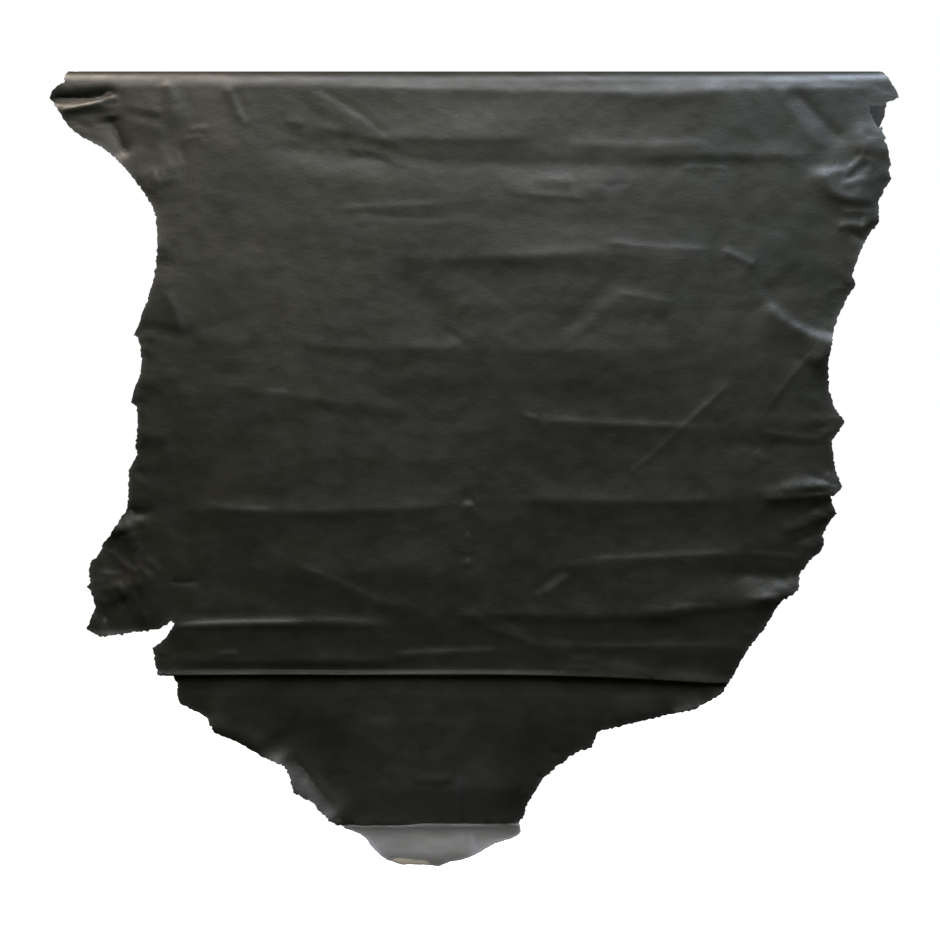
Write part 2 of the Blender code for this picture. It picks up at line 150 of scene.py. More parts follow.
# The overhanging tuck, as the leather runs through it: rows from its lip, forward, up
tuckRun = (
    (-5, 0.0, 0.0), (-4, 0.0, 0.0), (-3, 0.1, 0.0), (-2, 0.4, 0.0),
    (-1, 0.8, 0.0), (0, 4.8, 0.0), (1, 4.6, -1.5), (2, -0.8, 3.0),
    (3, -4.5, 3.5), (4, -5.5, -3.0), (5, -4.6, -1.0), (6, -3.6, 0.0),
    (7, -2.4, 0.0), (8, -1.4, 0.0), (9, -0.6, 0.0), (10, 0.0, 0.0),
)
tuckLipLine = 13  # which fold line the lip follows
linesAbove = 3  # lines before the fold lines: the hind end's reach and the two sides of the rail
# How deep the tuck is along its length, and how far its lip hangs lower: across, share, sag
tuckShare = (
    (-760, 0.75, 0.0), (-640, 1.0, 1.0), (-300, 1.0, 3.5), (100, 0.95, -1.0), (380, 0.8, -2.5),
    (560, 0.6, 0.0), (640, 0.35, 0.0), (700, 0.0, 0.0),
)
sagReach = 3.0  # rows from the lip over which that fades

# Folds and hollows: three places along each as across and drop, its lift towards the grain side in
# quarters of a millimetre (a hollow is negative), how far it spreads above and below, and how round
# its crest is
foldUnit = 0.00025
folds = (
    # x1, d1, x2, d2, x3, d3, lift, above, below, round
    # the top left leg, gathered under the rail
    (-1030, 76, -930, 72, -840, 57, -56, 10, 8, 4), (-1000, 108, -912, 88, -835, 70, 30, 9, 10, 5),
    (-985, 112, -905, 110, -866, 114, -11, 12, 16, 8), (-862, 112, -850, 158, -818, 216, -34, 9, 28, 4),
    (-735, 34, -722, 75, -705, 150, 6, 14, 16, 10), (-850, 96, -770, 104, -670, 92, 15, 42, 22, 10),
    (-590, 40, -560, 85, -530, 150, 5, 14, 14, 10), (-780, 300, -748, 262, -700, 225, 7, 22, 22, 12),
    # under the rail
    (-1060, 50, -560, 40, 0, 50, 16, 18, 60, 4), (-600, 30, -530, 33, -460, 30, 7, 8, 20, 5),
    (-420, 46, 400, 58, 1060, 44, 16, 18, 60, 4), (290, 52, 450, 69, 620, 54, 10, 16, 24, 6),
    (690, 34, 755, 30, 830, 36, 9, 8, 22, 5), (-520, 172, -60, 226, 870, 228, -11, 20, 28, 10),
    (360, 212, 600, 208, 860, 214, 13, 24, 16, 5), (-400, 44, -265, 122, -130, 208, 5, 14, 16, 8),
    (-510, 126, -420, 162, -310, 198, -5, 16, 16, 5), (-400, 160, -290, 182, -170, 196, -5, 18, 34, 5),
    (-380, 138, -270, 158, -160, 186, 8, 20, 12, 4), (-230, 160, -20, 170, 180, 162, 11, 46, 10, 8),
    (-500, 190, -400, 256, -120, 268, 3, 18, 24, 14), (60, 282, 210, 295, 360, 288, 6, 20, 24, 12),
    (-60, 330, 180, 368, 640, 374, -4, 22, 20, 14), (-700, 196, -600, 190, -500, 206, 9, 60, 150, 24),
    (-180, 458, 80, 454, 340, 436, 8, 20, 24, 8), (200, 180, 420, 186, 600, 181, 8, 11, 18, 6),
    (540, 172, 640, 120, 740, 66, 2, 18, 18, 12),
    # the top right corner
    (722, 36, 783, 122, 856, 208, 10, 15, 14, 8), (766, 40, 836, 116, 908, 186, -18, 12, 26, 4),
    (920, 130, 955, 215, 985, 330, 10, 22, 20, 14), (826, 232, 866, 304, 985, 318, 24, 60, 18, 5),
    (880, 345, 930, 340, 985, 325, 6, 12, 14, 8), (890, 405, 925, 390, 965, 380, 6, 12, 14, 8),
    # upper body
    (0, 462, 300, 450, 640, 456, 10, 22, 30, 12), (600, 438, 650, 452, 690, 476, 6, 20, 24, 12),
    (650, 470, 690, 540, 744, 594, 7, 12, 26, 6), (700, 562, 790, 630, 900, 668, 23, 13, 28, 6),
    (700, 500, 770, 590, 880, 648, -10, 60, 10, 6), (-140, 470, 180, 492, 480, 478, -8, 26, 34, 18),
    (-770, 480, -715, 560, -690, 640, 9, 28, 30, 16), (-700, 424, -600, 430, -480, 426, -4, 34, 14, 10),
    (-680, 630, -600, 656, -520, 662, 5, 14, 18, 8), (-430, 470, -300, 545, -240, 650, 6, 56, 56, 28),
    (-200, 460, -80, 580, -20, 660, -9, 44, 44, 22), (40, 520, 0, 600, -30, 650, 7, 36, 36, 20),
    (420, 480, 300, 580, 200, 640, -9, 42, 46, 22), (330, 562, 420, 568, 510, 590, 6, 24, 18, 10),
    (-290, 664, 160, 676, 580, 672, 11, 36, 60, 5), (-300, 736, 100, 744, 520, 742, 10, 64, 28, 14),
    (-430, 654, -260, 670, -70, 672, 12, 66, 20, 12), (810, 700, 858, 684, 888, 640, 30, 26, 18, 8),
    # middle
    (-560, 776, -340, 800, -110, 826, 7, 12, 24, 8), (-420, 812, -270, 838, -110, 850, -5, 18, 24, 12),
    (110, 844, 340, 858, 640, 868, 9, 16, 26, 8), (560, 900, 740, 906, 890, 902, -10, 20, 26, 12),
    (527, 850, 574, 804, 624, 752, 5, 12, 12, 6), (670, 836, 756, 752, 846, 668, 5, 14, 14, 6),
    (-740, 1057, -300, 1063, -20, 1042, 18, 26, 28, 6), (60, 1030, 380, 1040, 700, 1032, 17, 26, 24, 7),
    (640, 1024, 770, 1010, 888, 1002, 9, 14, 18, 8), (690, 1034, 800, 1027, 930, 1014, 34, 26, 16, 4),
    (650, 1278, 770, 1262, 850, 1250, 40, 22, 15, 5), (160, 1200, 440, 1184, 720, 1158, 9, 16, 26, 8),
    (610, 1214, 740, 1220, 830, 1212, -26, 50, 16, 8),
    (-580, 1200, -300, 1210, -20, 1210, 26, 80, 100, 16),
    (-40, 1302, 230, 1314, 560, 1306, 16, 56, 12, 8), (-445, 1184, -290, 1262, -110, 1296, 6, 14, 18, 8),
    (-50, 1304, 100, 1362, 250, 1412, 6, 12, 16, 6), (148, 1280, 192, 1246, 240, 1214, 5, 12, 12, 6),
    # the left flap
    (-835, 1068, -790, 1064, -750, 1074, -16, 10, 12, 8),
    (-855, 1090, -830, 1112, -795, 1122, 16, 10, 14, 8),
    (-895, 1130, -862, 1170, -850, 1250, -24, 24, 26, 14),
    (-835, 1275, -800, 1235, -765, 1205, 16, 16, 16, 8),
    (-895, 1335, -855, 1300, -820, 1280, -16, 18, 20, 10),
    (-905, 1345, -840, 1345, -770, 1335, -24, 110, 16, 10),
    # low body
    (-760, 1342, -440, 1328, -170, 1338, 18, 9, 28, 4),
    (-700, 1290, -600, 1292, -480, 1288, 6, 40, 16, 10),
    (-740, 1420, -420, 1422, -120, 1420, 19, 56, 14, 6),
    (370, 1312, 600, 1296, 790, 1278, 18, 26, 22, 6), (420, 1398, 560, 1400, 680, 1388, 7, 12, 18, 8),
    (-190, 1412, -100, 1412, -20, 1404, 5, 12, 14, 6), (180, 1440, 400, 1453, 640, 1474, 18, 12, 14, 4),
    (-730, 1438, -400, 1438, -60, 1438, -6, 12, 14, 6),
    # under the tuck
    (-400, 1560, -60, 1574, 300, 1560, 11, 60, 90, 18),
    (-655, 1562, -560, 1604, -468, 1662, 46, 60, 26, 12),
    (-508, 1638, -407, 1744, -303, 1836, 112, 15, 15, 60),
    (-420, 1806, -270, 1812, -100, 1800, 36, 95, 22, 10),
    (-260, 1724, -20, 1726, 130, 1734, 26, 50, 44, 18),
    (-300, 1786, -40, 1794, 130, 1790, -8, 22, 20, 12), (480, 1556, 520, 1540, 570, 1528, 32, 14, 12, 6),
    (-22, 1640, -22, 1730, -20, 1812, 4, 9, 9, 5),
)

# Fine creases on top of the folds, in the same columns but with a unit of their own
creaseUnit = 0.00028
creases = (
    # x1, d1, x2, d2, x3, d3, lift, above, below, round
    # the top left leg
    (-884, 92, -866, 76, -842, 78, -5, 5, 6, 4), (-905, 80, -880, 68, -850, 64, 4, 5, 6, 4),
    (-960, 126, -930, 136, -905, 152, -4, 7, 7, 4), (-768, 66, -756, 120, -742, 170, 2, 10, 10, 5),
    (-742, 70, -728, 140, -712, 240, -4, 12, 8, 5), (-842, 100, -790, 112, -732, 128, -6, 6, 8, 4),
    (-880, 86, -862, 80, -846, 90, -5, 5, 5, 3), (-768, 264, -745, 270, -722, 262, 8, 13, 8, 5),
    (-730, 30, -718, 56, -700, 88, 5, 7, 9, 4), (-674, 150, -650, 144, -624, 147, 3, 4, 5, 3),
    (-692, 176, -668, 166, -640, 166, 3, 4, 5, 3), (-702, 184, -690, 206, -682, 228, -4, 5, 5, 3),
    (-800, 268, -776, 258, -752, 244, 5, 9, 8, 5), (-752, 252, -734, 270, -716, 292, -4, 7, 7, 4),
    # under the rail
    (-584, 38, -566, 84, -549, 128, 5, 6, 8, 4), (-562, 48, -548, 90, -534, 130, -4, 6, 7, 4),
    (-443, 134, -420, 129, -397, 136, 4, 6, 7, 4), (-382, 42, -280, 100, -177, 180, -4, 8, 5, 3),
    (-400, 66, -330, 108, -262, 150, 3, 10, 10, 6), (-305, 190, -230, 206, -152, 244, 6, 10, 7, 3),
    (-270, 203, -208, 220, -140, 254, -3, 5, 5, 3), (82, 36, 96, 44, 108, 60, -3, 6, 7, 4),
    (-50, 88, 10, 90, 70, 96, -5, 22, 20, 12), (-336, 338, -190, 330, -49, 328, 3, 5, 5, 3),
    (-269, 350, -160, 358, -49, 362, -3, 5, 5, 3), (84, 300, 190, 306, 299, 314, 3, 5, 5, 3),
    (324, 288, 350, 280, 384, 276, -3, 5, 6, 3), (150, 264, 205, 270, 258, 270, 5, 8, 8, 5),
    (500, 240, 560, 236, 629, 242, 3, 4, 5, 3),
    # the top right corner
    (893, 262, 922, 232, 950, 206, 5, 5, 6, 3), (900, 272, 930, 248, 962, 228, -5, 5, 5, 3),
    (884, 284, 918, 274, 956, 264, 5, 5, 6, 3), (846, 224, 880, 302, 985, 312, 13, 36, 8, 3),
    (915, 188, 965, 194, 1014, 200, 14, 44, 10, 4), (940, 372, 965, 366, 995, 350, 14, 16, 6, 4),
    (895, 347, 930, 345, 975, 348, 4, 4, 5, 3), (900, 394, 930, 404, 955, 418, -8, 5, 7, 3),
    (880, 388, 915, 376, 965, 390, 9, 7, 6, 3),
    # upper body
    (312, 414, 440, 430, 605, 433, 4, 5, 6, 3), (600, 432, 650, 455, 692, 474, 5, 5, 6, 3),
    (342, 541, 415, 548, 486, 565, 3, 5, 5, 3), (500, 575, 470, 596, 441, 615, -4, 10, 10, 6),
    (-116, 492, -60, 540, -8, 600, 5, 22, 22, 14), (125, 450, 95, 540, 120, 620, -5, 18, 18, 12),
    (150, 520, 196, 515, 240, 530, 4, 22, 22, 16), (350, 482, 290, 560, 225, 628, -4, 10, 16, 6),
    (378, 520, 300, 600, 215, 665, 4, 10, 10, 6), (-752, 420, -738, 428, -722, 440, 4, 8, 8, 5),
    (-760, 470, -735, 470, -700, 478, -5, 10, 12, 6), (-725, 533, -703, 590, -679, 641, 4, 6, 6, 4),
    (-800, 622, -750, 626, -690, 640, -6, 8, 12, 5),
    # middle
    (-795, 752, -740, 742, -690, 748, 5, 12, 10, 6), (-803, 782, -765, 784, -731, 792, -5, 10, 12, 6),
    (-800, 886, -755, 884, -711, 890, 6, 10, 8, 5), (-800, 915, -760, 918, -735, 925, -5, 10, 16, 8),
    (-491, 774, -460, 778, -429, 780, 3, 4, 5, 3), (-665, 1040, -560, 1056, -470, 1060, 3, 5, 6, 3),
    (127, 833, 145, 836, 163, 838, 4, 3, 4, 3), (163, 838, 350, 853, 552, 856, 3, 5, 6, 3),
    (692, 871, 770, 885, 862, 892, 5, 5, 8, 3), (840, 822, 866, 836, 892, 846, 4, 5, 5, 3),
    (682, 918, 698, 932, 712, 948, 4, 6, 6, 4), (434, 925, 408, 950, 383, 976, 3, 5, 5, 3),
    (831, 668, 758, 758, 692, 846, 3, 4, 5, 3), (643, 742, 520, 850, 395, 970, 3, 4, 5, 3),
    (800, 694, 832, 706, 862, 730, 4, 9, 9, 4), (790, 700, 826, 674, 886, 664, 5, 18, 14, 4),
    (742, 1018, 800, 1002, 892, 1006, 10, 12, 8, 3), (850, 975, 870, 982, 890, 996, 4, 5, 5, 3),
    (780, 1030, 830, 1026, 870, 1024, -5, 8, 12, 5), (558, 1014, 600, 1010, 640, 1018, 3, 14, 10, 7),
    (742, 1116, 810, 1092, 878, 1068, 9, 12, 7, 3), (760, 1150, 820, 1122, 868, 1092, -8, 8, 12, 4),
    (800, 1066, 845, 1050, 880, 1046, -6, 14, 9, 4), (638, 1148, 740, 1142, 846, 1150, 4, 14, 10, 6),
    # dents along the spine
    (-20, 1026, -5, 1030, 8, 1028, -5, 8, 8, 5), (-18, 1048, -4, 1051, 10, 1048, 8, 5, 9, 4),
    (-14, 1118, -6, 1121, 2, 1118, 4, 5, 6, 4), (-14, 1180, -6, 1184, 4, 1180, 6, 5, 6, 4),
    # the left flap
    (-825, 1062, -800, 1070, -775, 1076, -8, 7, 7, 4),
    (-862, 1116, -838, 1108, -812, 1092, 16, 13, 7, 3), (-815, 1106, -795, 1092, -775, 1086, 6, 8, 8, 4),
    (-826, 1120, -815, 1140, -803, 1158, 5, 9, 9, 5), (-868, 1150, -842, 1182, -808, 1206, 6, 6, 6, 3),
    (-786, 1124, -790, 1170, -812, 1204, -6, 6, 6, 3), (-888, 1205, -862, 1214, -832, 1210, 6, 5, 6, 3),
    (-800, 1238, -790, 1280, -766, 1318, -5, 6, 6, 3), (-852, 1228, -834, 1268, -824, 1312, 6, 5, 7, 3),
    (-790, 1170, -765, 1186, -740, 1212, 4, 6, 6, 3), (-798, 1197, -834, 1240, -860, 1292, 5, 7, 7, 4),
    (-780, 1205, -815, 1250, -840, 1305, -5, 7, 7, 4), (-812, 1226, -832, 1254, -845, 1280, 3, 4, 4, 3),
    (-722, 1232, -690, 1234, -645, 1230, -6, 3, 4, 2), (-910, 1312, -880, 1298, -850, 1290, -6, 9, 9, 5),
    # low body
    (256, 1180, 444, 1172, 640, 1160, 4, 4, 5, 3), (662, 1164, 730, 1168, 801, 1178, 4, 4, 5, 3),
    (-434, 1184, -332, 1226, -219, 1275, 4, 6, 8, 3), (-722, 1338, -560, 1331, -380, 1331, 9, 3, 6, 2),
    (240, 1212, 210, 1238, 178, 1268, 4, 5, 6, 3), (226, 1200, 190, 1228, 160, 1258, -3, 5, 5, 3),
    (700, 1268, 722, 1272, 746, 1282, 5, 6, 6, 3), (514, 1276, 600, 1272, 700, 1272, 12, 26, 14, 6),
    (730, 1250, 760, 1246, 785, 1240, 4, 8, 8, 5), (474, 1298, 530, 1290, 603, 1290, 4, 4, 6, 3),
    (-34, 1308, 50, 1329, 171, 1378, 4, 7, 6, 3), (14, 1336, 90, 1356, 173, 1392, 3, 5, 6, 3),
    (216, 1388, 440, 1386, 652, 1381, 4, 4, 6, 3), (-193, 1406, -60, 1400, 99, 1397, 5, 4, 6, 3),
    (176, 1382, 212, 1384, 253, 1390, 3, 6, 6, 4), (-610, 1406, -580, 1402, -552, 1404, 5, 4, 5, 3),
    (227, 1418, 330, 1430, 440, 1448, 4, 6, 7, 3),
    # under the tuck
    (340, 1554, 430, 1550, 560, 1542, 12, 24, 14, 10), (196, 1636, 205, 1646, 214, 1656, -4, 5, 5, 3),
    (163, 1697, 169, 1703, 176, 1710, -4, 4, 4, 3), (-141, 1702, -85, 1706, -29, 1700, 6, 9, 5, 3),
    (-440, 1640, -372, 1720, -306, 1802, -9, 6, 9, 4),
    (-330, 1802, -110, 1816, 112, 1802, 40, 130, 12, 10), (-26, 1652, -19, 1755, -21, 1840, -6, 4, 4, 3),
    (-21, 1835, -23, 1900, -20, 1985, -4, 3, 3, 2), (-2, 1820, 3, 1930, 16, 2060, -5, 3, 3, 2),
)

# Where the trimmed edge shows the skin's raw tan core: across, drop, and how far each way
rawPatches = (
    (-313, 1802, 12, 9), (-150, 2104, 26, 30), (-112, 2112, 24, 24),
)
rawSoft = 1.5  # where a patch has ended, in its own reach

# Where clips pulled the edge: the tip, which way in the creases run, how far they fan and reach
clipMarks = (
    # across, drop, heading, spread, reach, creases, lift
    (-1006, 71, 100, 60, 70, 4, 3), (-806, 643, 80, 70, 70, 4, 3),
    (-812, 802, 90, 70, 50, 3, 3), (-820, 967, 80, 60, 60, 3, 3),
    (-914, 1243, 80, 80, 90, 5, 3), (-915, 1346, 60, 60, 80, 4, 3),
    (-708, 1330, 80, 50, 60, 3, 2), (898, 849, -95, 70, 110, 5, 4),
    (891, 1005, -95, 60, 110, 5, 4), (880, 1069, -100, 60, 100, 4, 4),
    (849, 1147, -110, 60, 80, 4, 3), (792, 1254, -110, 60, 90, 4, 4),
    (924, 520, -95, 70, 90, 4, 3), (1006, 265, -100, 70, 80, 4, 3),
    (704, 1351, -110, 50, 70, 3, 3),
)

curveSamples = 14  # pieces that each fold's curve is measured in
curveMeasure = 60  # pieces that a crease's length is measured in
foldSpread = 9  # how far from a fold its lift is still counted, in its widths
facetReach = 1.8  # how far a facet's flank runs, in its widths
facetFoot = 0.012  # and how softly it ends
lineWidth = 6  # creases this narrow also take a line of wear on their crests and painted shade in their hollows
foldEnds = 0.2  # share of a fold's length over which each end fades
railHold = 0.020  # fall down to which the leather bears on the rail
railRelease = 0.045  # fall over which the folds then come in
floorSettle = 0.030  # floor length over which the last folds go flat
backFlap = {"release": 0.2, "wave": 0.006, "waves": 9.0, "phase": 0.6}

# The creases at a clip's mark: how far outside the edge they start, how much shorter some are, where
# their middle lies and how far it sags, how deep the hollows are to the ridges, and their widths
clipFan = {"outside": 6, "shorter": 0.175, "middle": 0.45, "sag": 2, "hollow": 0.8, "shape": (7, 7, 4)}

# The whole sheet's slow waves: lift, waves per metre across and down, phase
slowWaves = (
    (3.0, 0.55, 0.35, 0.4),
    (2.2, 1.10, -0.60, 2.1),
    (1.6, -0.80, 1.40, 4.4),
    (1.2, 1.90, 0.90, 1.2),
)

# Cockles of the skin, as layers of noise: lift, cells per metre across and down
cockles = (
    (1.5, 4.0, 8.5),
    (0.55, 11.0, 22.0),
)
cockleApart = 7.3  # how far apart in the noise the layers are read
# The trimmed edge stands in and out
edgeWave = {"lift": 7.0, "cells": 9.0, "reach": 0.030, "row": 3.7}


def fallOfDrop(drop):
    # Fall down the front for a height below the crest.
    if drop >= sheetRadius:
        return quarter + drop - sheetRadius
    return sheetRadius * math.acos(1 - drop / sheetRadius)


def outline():
    # The whole trimmed edge as across, fall and bow, one closed loop.
    flat = floorStart - hide["floorBend"]
    loop = []
    for table, fallOf in (
        (leftEdge, fallOfDrop),
        (neckEdge, lambda forward: flat + forward),
        (rightEdge, fallOfDrop),
        (backEdge, lambda drop: -fallOfDrop(drop)),
    ):
        loop += [(x * mm, fallOf(d * mm), bow * mm) for x, d, bow in table]
    return loop


def lineFalls(across):
    # Row numbers of the row lines, and their falls at these places across (lines by places).
    across = np.atleast_1d(across)
    share = np.clip(across / hide["halfWidth"], -1, 1)
    level = np.ones_like(share)
    falls = [level * (sheetRadius - hide["backReach"] - quarter)]
    falls += [level * -quarter, level * quarter]
    rows = [0, backRows, backRows + rollRows]
    nextRows = underRollRows
    for left, middle, right, count in foldLines:
        slope = (right - left) / 2
        curve = (right + left) / 2 - middle
        drops = (middle + slope * share + curve * share ** 2) * mm
        falls.append(quarter + drops - sheetRadius)
        rows.append(rows[-1] + nextRows)
        nextRows = count
    for fall, count in (
        (bendStart, nextRows), (floorStart, bendRows), (floorStart + hide["floorReach"], floorRows),
    ):
        falls.append(level * fall)
        rows.append(rows[-1] + count)
    return np.array(rows, float), np.array(falls)


def fallOfRow(across, row):
    rows, falls = lineFalls(across)
    line = np.clip(np.searchsorted(rows, row, side="right") - 1, 0, len(rows) - 2)
    place = np.arange(len(row))
    share = (row - rows[line]) / (rows[line + 1] - rows[line])
    return falls[line, place] * (1 - share) + falls[line + 1, place] * share


def rowOfFall(across, fall):
    rows, falls = lineFalls(across)
    return np.array([np.interp(f, falls[:, k], rows) for k, f in enumerate(fall)])


def foldCurve(x1, d1, x2, d2, x3, d3, count=curveSamples):
    # The curve that starts, passes half way and ends at the three places.
    along = np.linspace(0, 1, count + 1)
    xs = x1 + (4 * x2 - 3 * x1 - x3) * along + (2 * x1 - 4 * x2 + 2 * x3) * along ** 2
    ds = d1 + (4 * d2 - 3 * d1 - d3) * along + (2 * d1 - 4 * d2 + 2 * d3) * along ** 2
    return xs * mm, ds * mm


def foldLift(across, drop, table, unit=foldUnit, facets=False):
    # Sum of the lifts of a table's folds at these places; facets have straight flanks.
    lift = np.zeros_like(across)
    for x1, d1, x2, d2, x3, d3, height, above, below, roundCrest in table:
        xs, ds = foldCurve(x1, d1, x2, d2, x3, d3)
        reach = foldSpread * max(above, below) * mm
        near = (across > xs.min() - reach) & (across < xs.max() + reach)
        near &= (drop > ds.min() - reach) & (drop < ds.max() + reach)
        px, pd = across[near], drop[near]
        best = np.full_like(px, np.inf)
        side = np.zeros_like(px)
        place = np.zeros_like(px)
        for k in range(curveSamples):
            ex, ed = xs[k + 1] - xs[k], ds[k + 1] - ds[k]
            t = np.clip(((px - xs[k]) * ex + (pd - ds[k]) * ed) / (ex * ex + ed * ed), 0, 1)
            gx = px - xs[k] - t * ex
            gd = pd - ds[k] - t * ed
            gap = np.hypot(gx, gd)
            nearer = gap < best
            best = np.where(nearer, gap, best)
            side = np.where(nearer, gd * abs(ex) - gx * ed * np.sign(ex or 1), side)
            place = np.where(nearer, (k + t) / curveSamples, place)
        width = np.where(side > 0, below, above) * mm
        bend = roundCrest * mm
        away = (np.sqrt(best ** 2 + bend ** 2) - bend) / width
        if facets:
            flank = 1 - away / facetReach
            shape = (flank + np.sqrt(flank ** 2 + facetFoot)) / 2
        else:
            shape = np.exp(-away)
        ends = np.clip(np.minimum(place, 1 - place) / foldEnds, 0, 1)
        ends = ends * ends * (3 - 2 * ends)
        lift[near] += height * unit * shape * ends
    return lift


def rawShare(across, drop):
    share = np.zeros_like(across)
    for x, d, wide, deep in rawPatches:
        gap = np.hypot((across - x * mm) / (wide * mm), (drop - d * mm) / (deep * mm))
        share = np.maximum(share, np.clip(rawSoft - gap, 0, 1))
    return share


def clipCreases():
    # Rows for the creases table: short ones that fan in from each clip's mark, in and out by turns.
    rows = []
    for x, d, heading, spread, reach, count, height in clipMarks:
        for k in range(count):
            turn = math.radians(heading + spread * (k / (count - 1) - 0.5))
            far = reach * (1 - clipFan["shorter"] * ((k * 2) % 3))
            middle = far * clipFan["middle"]
            aimX, aimD = math.sin(turn), math.cos(turn)
            rows.append((
                x - clipFan["outside"] * aimX, d - clipFan["outside"] * aimD,
                x + middle * aimX, d + middle * aimD + clipFan["sag"],
                x + far * aimX, d + far * aimD,
                -height * clipFan["hollow"] if k % 2 else height, *clipFan["shape"],
            ))
    return rows


def noiseLift(across, drop):
    lift = np.zeros_like(across)
    for layer, (height, wide, down) in enumerate(cockles):
        lift += height * mm * np.array([
            noise.noise(Vector((x * wide, d * down, cockleApart * layer)))
            for x, d in zip(across, drop)
        ])
    return lift


def smoothRun(rows, values, at):
    # A smooth curve through a short table's values (Catmull-Rom).
    slopes = np.gradient(values, rows)
    at = np.clip(at, rows[0], rows[-1])
    k = np.clip(np.searchsorted(rows, at, side="right") - 1, 0, len(rows) - 2)
    step = rows[k + 1] - rows[k]
    t = (at - rows[k]) / step
    keepA = (1 + 2 * t) * (1 - t) ** 2
    keepB = t * t * (3 - 2 * t)
    bendA = t * (1 - t) ** 2 * step
    bendB = t * t * (t - 1) * step
    return keepA * values[k] + keepB * values[k + 1] + bendA * slopes[k] + bendB * slopes[k + 1]


def hang(across, row, edgeGap, edgeTurn):
    # Places in space for points of the sheet.
    fall = fallOfRow(across, row)
    rail, bend = hide["railRadius"], hide["floorBend"]
    drop = rail + fall - quarter
    onFront = (fall > quarter) & (fall < floorStart)
    lift = foldLift(across, drop, folds)
    lift += foldLift(across, drop, creases, creaseUnit, True)
    lift += foldLift(across, drop, clipCreases(), creaseUnit, True)
    for height, wide, down, phase in slowWaves:
        lift += height * mm * np.sin(2 * math.pi * (wide * across + down * drop) + phase)
    lift += noiseLift(across, drop)
    lift += edgeTurn * np.exp(-edgeGap / edgeWave["reach"])
    # no folds where the leather bears on the rail, behind it, or flat on the floor
    free = np.clip((fall - railHold) / railRelease, 0, 1)
    floorShare = np.clip((fall - bendStart) / (floorStart + floorSettle - bendStart), 0, 1)
    lift *= free * (1 - floorShare)
    behind = np.clip((-fall - quarter) / backFlap["release"], 0, 1)
    lift += behind * backFlap["wave"] * np.sin(backFlap["waves"] * across + backFlap["phase"])
    # the tuck
    below = row - lineFalls(0.0)[0][linesAbove + tuckLipLine]
    marks, shares, sags = np.array(tuckShare).T
    share = np.interp(across, marks * mm, shares)
    sag = np.interp(across, marks * mm, sags * mm) * np.exp(-(below / sagReach) ** 2)
    rows, forward, up = np.array(tuckRun).T
    lift += np.where(onFront, smoothRun(rows, forward * mm, below) * share, 0)
    raised = np.where(onFront, smoothRun(rows, up * mm, below) * share - sag, 0)

    places = np.zeros((len(across), 3))
    floorLevel = -hide["floorDrop"] + hide["thick"] / 2
    places[:, 0] = across
    back = fall < -quarter
    places[back, 1] = sheetRadius + lift[back]
    places[back, 2] = -rail + fall[back] + quarter
    roll = ~back & (fall < quarter)
    angle = fall[roll] / sheetRadius
    places[roll, 1] = -np.sin(angle) * (sheetRadius + lift[roll])
    places[roll, 2] = -rail + np.cos(angle) * (sheetRadius + lift[roll])
    front = (fall >= quarter) & (fall < bendStart)
    places[front, 1] = -sheetRadius - lift[front]
    places[front, 2] = -rail - fall[front] + quarter
    turn = (fall >= bendStart) & (fall < floorStart)
    angle = (fall[turn] - bendStart) / bend
    inner = bend - lift[turn]
    places[turn, 1] = -sheetRadius - bend + np.cos(angle) * inner
    places[turn, 2] = floorLevel + bend - np.sin(angle) * inner
    flat = fall >= floorStart
    places[flat, 1] = -sheetRadius - bend - fall[flat] + floorStart
    places[flat, 2] = floorLevel + lift[flat]
    places[:, 2] += raised
    return places


def edgePoints():
    # The trimmed edge as places across and fall, close together, a little uneven.
    points = []
    loop = outline()
    random = np.random.default_rng(edgeSeed)
    for (x, fall, bow), (nextX, nextFall, _) in zip(loop, loop[1:] + loop[:1]):
        alongX, alongFall = nextX - x, nextFall - fall
        length = math.hypot(alongX, alongFall)
        pieces = max(1, math.ceil(length / hide["edgeStep"]))
        for piece in range(pieces):
            t = piece / pieces
            out = 4 * t * (1 - t) * bow / length
            if piece:
                out += random.normal() * hide["ragged"] / length
            points.append((x + t * alongX - out * alongFall, fall + t * alongFall + out * alongX))
    return np.array(points)


def ringPoints(edge, inward):
    # A ring at a distance inside the edge, which runs down the left side, so the hide lies to its left.
    along = np.roll(edge, -1, axis=0) - np.roll(edge, 1, axis=0)
    along /= np.linalg.norm(along, axis=1)[:, None]
    return edge + inward * np.column_stack((along[:, 1], -along[:, 0]))


def thinned(fixed, wanted, clear):
    # The wanted points that lie at least this far from the fixed ones and from each other.
    cells = {}
    for spot in fixed:
        cells.setdefault((int(spot[0] // clear), int(spot[1] // clear)), []).append(spot)
    kept = []
    for spot in wanted:
        cx, cy = int(spot[0] // clear), int(spot[1] // clear)
        around = (
            other
            for nx in (cx - 1, cx, cx + 1)
            for ny in (cy - 1, cy, cy + 1)
            for other in cells.get((nx, ny), ())
        )
        if all(math.hypot(spot[0] - o[0], spot[1] - o[1]) >= clear for o in around):
            kept.append(spot)
            cells.setdefault((cx, cy), []).append(spot)
    return kept


def meshRows():
    # How the line rows go with the mesh's steps: a whole number of steps to each row.
    rows, falls = lineFalls(0.0)
    levels = [0]
    for k in range(len(rows) - 1):
        count = rows[k + 1] - rows[k]
        tall = (falls[k + 1, 0] - falls[k, 0]) / count
        if k == 0:
            steps = backSteps
        elif tall < hide["step"] / 2:
            steps = tightSteps
        else:
            steps = max(1, round(tall / hide["step"]))
        levels.append(levels[-1] + count * steps)
    return rows, np.array(levels)


def toSteps(across, fall, rows, levels):
    return np.column_stack((across / hide["step"], np.interp(rowOfFall(across, fall), rows, levels)))


